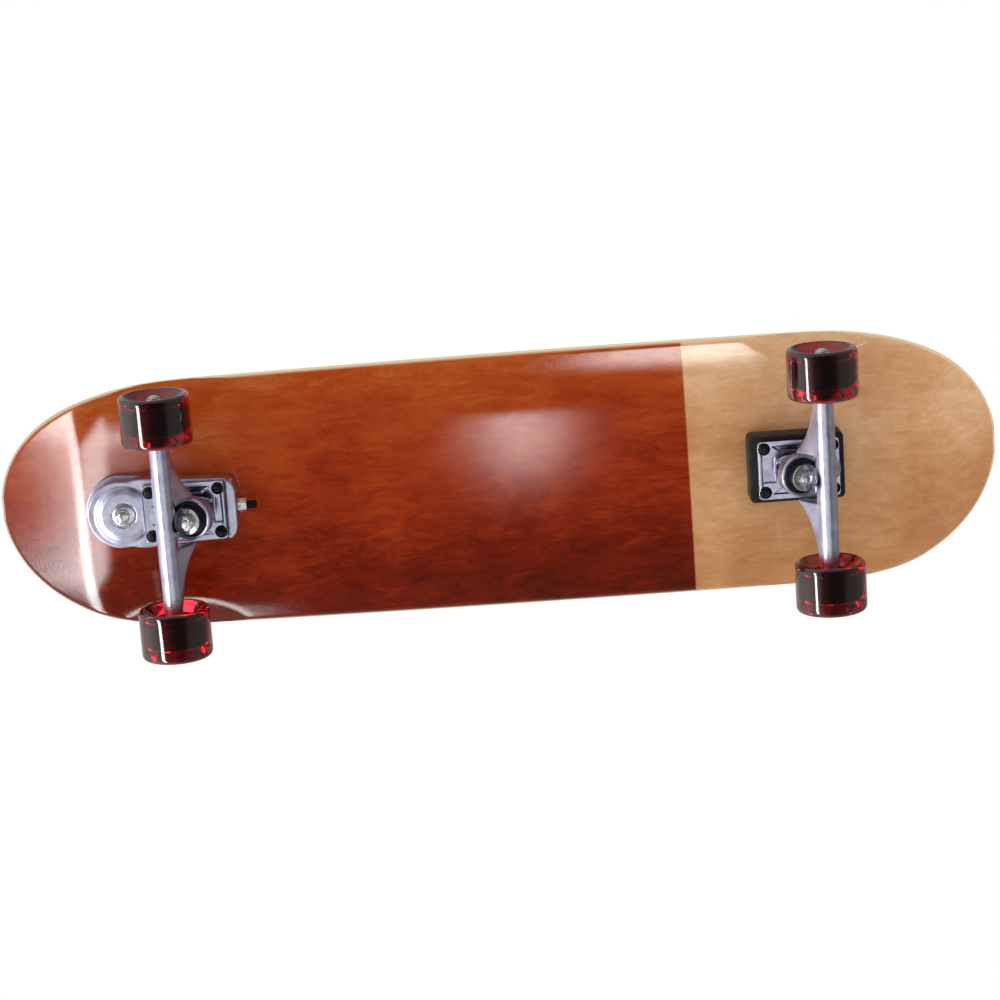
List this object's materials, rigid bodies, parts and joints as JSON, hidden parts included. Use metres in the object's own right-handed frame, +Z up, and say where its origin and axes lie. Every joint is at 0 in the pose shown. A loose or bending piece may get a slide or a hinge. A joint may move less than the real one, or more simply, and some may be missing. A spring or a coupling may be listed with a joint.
{
  "type": "skateboard",
  "caption": "Surf-style skateboard: kicked maple deck, spring-centred swinging front truck, fixed rear truck on a thick riser, clear urethane wheels.",
  "frame": {"origin": "on the ground under the middle of the deck, at the bottom centre of the bounding box", "axes": "+X along the deck towards the nose, +Y to the rider's left, +Z up from the ground through the deck"},
  "size_m": [0.94, 0.2476, 0.1562],
  "materials": {
    "lacquered_maple": "stained and clear lacquered, glossy",
    "grip_tape": "coarse silicon carbide grit",
    "riser_rubber": "moulded, satin",
    "cast_aluminium": "die cast and tumbled",
    "chromed_baseplate": "bright plated",
    "zinc_steel": "zinc plated",
    "black_steel": "black oxide",
    "black_nylon": "moulded",
    "bushing_rubber": "cast, satin",
    "red_urethane": "cast, clear, glossy"
  },
  "bodies": {
    "deck": {"deck": "lacquered_maple", "grip_tape": "grip_tape", "rear_riser_pad": "riser_rubber", "swing_base": "cast_aluminium", "swing_thrust_washer": "black_nylon", "swing_pivot_bolt": "zinc_steel", "swing_pivot_nut": "zinc_steel", "rear_baseplate": "chromed_baseplate", "rear_pivot_cup": "black_nylon", "rear_kingpin": "zinc_steel", "rear_kingpin_nut": "zinc_steel", "rear_road_washer": "zinc_steel", "rear_board_washer": "zinc_steel", "rear_road_bushing": "bushing_rubber", "rear_board_bushing": "bushing_rubber", "rear_truck_bolt_1": "black_steel", "rear_truck_bolt_2": "black_steel", "rear_truck_bolt_3": "black_steel", "rear_truck_bolt_4": "black_steel"},
    "swing_arm": {"swing_arm": "cast_aluminium", "swing_spring_plunger": "black_nylon", "swing_return_spring": "zinc_steel", "swing_tension_nut": "zinc_steel", "front_baseplate": "chromed_baseplate", "front_pivot_cup": "black_nylon", "front_kingpin": "zinc_steel", "front_kingpin_nut": "zinc_steel", "front_road_washer": "zinc_steel", "front_board_washer": "zinc_steel", "front_road_bushing": "bushing_rubber", "front_board_bushing": "bushing_rubber", "front_truck_bolt_1": "black_steel", "front_truck_bolt_2": "black_steel", "front_truck_bolt_3": "black_steel", "front_truck_bolt_4": "black_steel"},
    "tension_screw": {"swing_tension_bolt": "black_steel"},
    "front_hanger": {"front_hanger": "cast_aluminium", "front_axle": "zinc_steel", "front_left_axle_nut": "zinc_steel", "front_right_axle_nut": "zinc_steel"},
    "front_left_wheel": {"front_left_tyre": "red_urethane", "front_left_core": "black_nylon", "front_left_bearing_outer": "zinc_steel", "front_left_bearing_inner": "zinc_steel"},
    "front_right_wheel": {"front_right_tyre": "red_urethane", "front_right_core": "black_nylon", "front_right_bearing_outer": "zinc_steel", "front_right_bearing_inner": "zinc_steel"},
    "rear_hanger": {"rear_hanger": "cast_aluminium", "rear_axle": "zinc_steel", "rear_left_axle_nut": "zinc_steel", "rear_right_axle_nut": "zinc_steel"},
    "rear_left_wheel": {"rear_left_tyre": "red_urethane", "rear_left_core": "black_nylon", "rear_left_bearing_outer": "zinc_steel", "rear_left_bearing_inner": "zinc_steel"},
    "rear_right_wheel": {"rear_right_tyre": "red_urethane", "rear_right_core": "black_nylon", "rear_right_bearing_outer": "zinc_steel", "rear_right_bearing_inner": "zinc_steel"}
  },
  "joints": [
    {"name": "swing_arm_pivot", "type": "hinge", "parent": "deck", "child": "swing_arm", "pos_m": [0.35, 0, 0.095], "axis": [0, 0, 1], "range_deg": [-30, 30], "stiffness_Nm_per_rad": 8},
    {"name": "front_steer", "type": "hinge", "parent": "swing_arm", "child": "front_hanger", "pos_m": [0.28483, 0, 0.05905], "axis": [0.8539, 0, 0.5204], "range_deg": [-16, 16], "stiffness_Nm_per_rad": 45, "deforming": ["front_road_bushing", "front_board_bushing"]},
    {"name": "rear_steer", "type": "hinge", "parent": "deck", "child": "rear_hanger", "pos_m": [-0.27333, 0, 0.05905], "axis": [-0.8539, 0, 0.5204], "range_deg": [-16, 16], "stiffness_Nm_per_rad": 45, "deforming": ["rear_road_bushing", "rear_board_bushing"]},
    {"name": "front_left_wheel_spin", "type": "hinge", "parent": "front_hanger", "child": "front_left_wheel", "pos_m": [0.3065, 0.0995, 0.0325], "axis": [0, 1, 0], "continuous": true},
    {"name": "front_right_wheel_spin", "type": "hinge", "parent": "front_hanger", "child": "front_right_wheel", "pos_m": [0.3065, -0.0995, 0.0325], "axis": [0, 1, 0], "continuous": true},
    {"name": "rear_left_wheel_spin", "type": "hinge", "parent": "rear_hanger", "child": "rear_left_wheel", "pos_m": [-0.295, 0.0995, 0.0325], "axis": [0, 1, 0], "continuous": true},
    {"name": "rear_right_wheel_spin", "type": "hinge", "parent": "rear_hanger", "child": "rear_right_wheel", "pos_m": [-0.295, -0.0995, 0.0325], "axis": [0, 1, 0], "continuous": true},
    {"name": "tension_adjust", "type": "slide", "parent": "swing_arm", "child": "tension_screw", "axis": [1, 0, 0], "range_m": [-0.0025, 0]}
  ]
}
